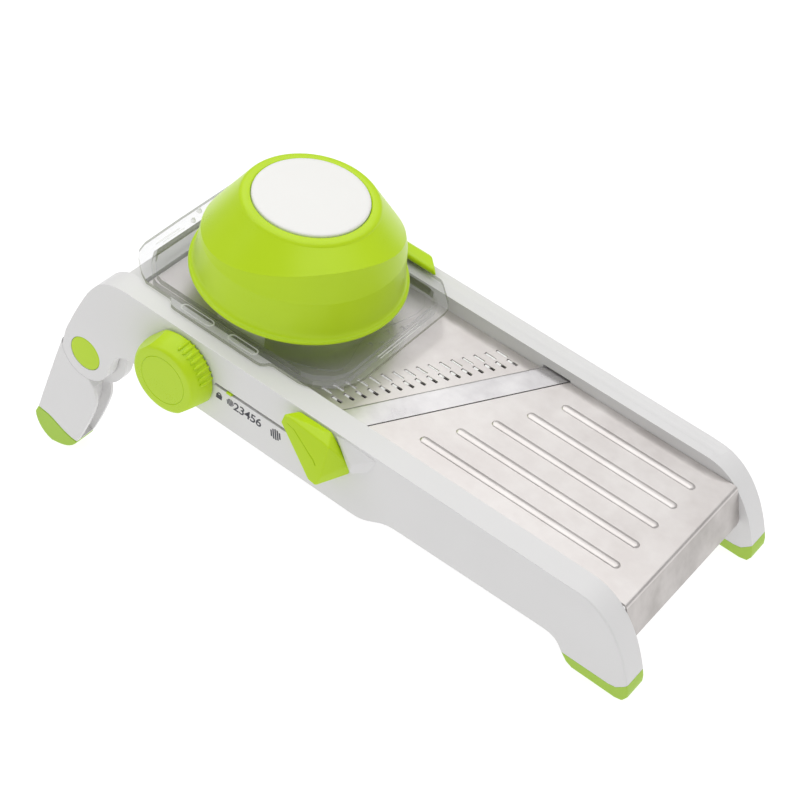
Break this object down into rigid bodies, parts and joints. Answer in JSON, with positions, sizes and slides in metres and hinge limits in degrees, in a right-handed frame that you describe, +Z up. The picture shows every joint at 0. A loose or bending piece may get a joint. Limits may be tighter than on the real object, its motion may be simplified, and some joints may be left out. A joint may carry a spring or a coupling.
{
  "type": "mandoline slicer",
  "caption": "Adjustable mandoline slicer: steel decks between two rails on a folding leg, skewed blade, thickness knob, and a hand cup that slides on a clear carriage.",
  "frame": {"origin": "middle of the underside box, on the table that the slicer stands on", "axes": "+X runs down the slicer towards the landing end, +Y to the side away from the knob, +Z up"},
  "size_m": [0.375, 0.1486, 0.1734],
  "materials": {
    "green_plastic": "lime green moulded plastic, satin",
    "green_rubber": "lime green soft grip rubber, matte",
    "white_plastic": "white moulded plastic, fine satin",
    "clear_plastic": "clear polished plastic",
    "satin_steel": "satin stainless sheet",
    "blade_steel": "ground stainless steel",
    "grey_plastic": "grey acetal"
  },
  "bodies": {
    "frame": {"near_side_rail": "white_plastic", "far_side_rail": "white_plastic", "rear_crossbar": "white_plastic", "front_crossbar": "white_plastic", "blade_bed": "white_plastic", "near_plate_screw": "satin_steel", "far_plate_screw": "satin_steel", "landing_plate": "satin_steel", "near_front_foot": "green_rubber", "far_front_foot": "green_rubber", "near_pivot_pin": "satin_steel", "far_pivot_pin": "satin_steel", "near_pivot_cap": "green_plastic", "far_pivot_cap": "green_plastic", "ramp_hinge_pin": "satin_steel"},
    "leg": {"folding_leg": "white_plastic", "near_leg_pad": "green_rubber", "far_leg_pad": "green_rubber"},
    "adjuster": {"thickness_knob": "green_plastic", "knob_face": "green_plastic", "knob_screw": "satin_steel", "adjuster_shaft": "satin_steel", "near_cam": "grey_plastic", "far_cam": "grey_plastic"},
    "pointer": {"scale_pointer": "green_plastic"},
    "ramp": {"ramp_plate": "satin_steel", "ramp_carrier": "white_plastic"},
    "rear_comb_set": {"rear_comb": "blade_steel"},
    "front_comb_set": {"front_comb": "blade_steel"},
    "blade_set": {"main_blade": "blade_steel", "blade_holder": "grey_plastic", "blade_handle": "green_plastic"},
    "carriage": {"carriage_tray": "clear_plastic", "rail_clip": "green_plastic"},
    "cup": {"hand_cup": "green_plastic", "cup_cap": "white_plastic", "cup_sleeve": "clear_plastic"},
    "pusher": {"pusher_plate": "clear_plastic", "pusher_rod": "white_plastic", "pusher_spring": "satin_steel"}
  },
  "joints": [
    {"name": "leg_fold", "type": "hinge", "parent": "frame", "child": "leg", "pos_m": [-0.1398, 0.00595, 0.07198], "axis": [0, 1, 0], "range_deg": [-82, 0]},
    {"name": "knob_turn", "type": "hinge", "parent": "frame", "child": "adjuster", "pos_m": [-0.07184, 0.00595, 0.08912], "axis": [0, 1, 0], "range_deg": [-50, 250]},
    {"name": "pointer_slide", "type": "slide", "parent": "frame", "child": "pointer", "axis": [0.9681, 0, -0.2504], "range_m": [-0.0062, 0.0306]},
    {"name": "ramp_tilt", "type": "hinge", "parent": "frame", "child": "ramp", "pos_m": [-0.10527, 0.00595, 0.10923], "axis": [0, 1, 0], "range_deg": [-0.53, 2.61]},
    {"name": "rear_comb_lift", "type": "slide", "parent": "ramp", "child": "rear_comb_set", "axis": [0.2504, 0, 0.9681], "range_m": [0, 0.004]},
    {"name": "front_comb_lift", "type": "slide", "parent": "ramp", "child": "front_comb_set", "axis": [0.2504, 0, 0.9681], "range_m": [0, 0.004]},
    {"name": "blade_pull", "type": "slide", "parent": "frame", "child": "blade_set", "axis": [-0.4607, -0.8795, 0.1191], "range_m": [0, 0.135]},
    {"name": "carriage_slide", "type": "slide", "parent": "frame", "child": "carriage", "axis": [0.9681, 0, -0.2504], "range_m": [0, 0.145]},
    {"name": "cup_lift", "type": "slide", "parent": "carriage", "child": "cup", "axis": [0.2504, 0, 0.9681], "range_m": [0, 0.024]},
    {"name": "pusher_press", "type": "slide", "parent": "cup", "child": "pusher", "axis": [0.2504, 0, 0.9681], "range_m": [0, 0.013], "stiffness_N_per_m": 200, "springref_m": -0.01, "deforming": ["pusher_spring"]}
  ],
  "couplings": [
    {"joint": "pointer_slide", "follows": "knob_turn", "m_per_rad": 0.00699},
    {"joint": "ramp_tilt", "follows": "knob_turn", "ratio": 0.0104}
  ]
}
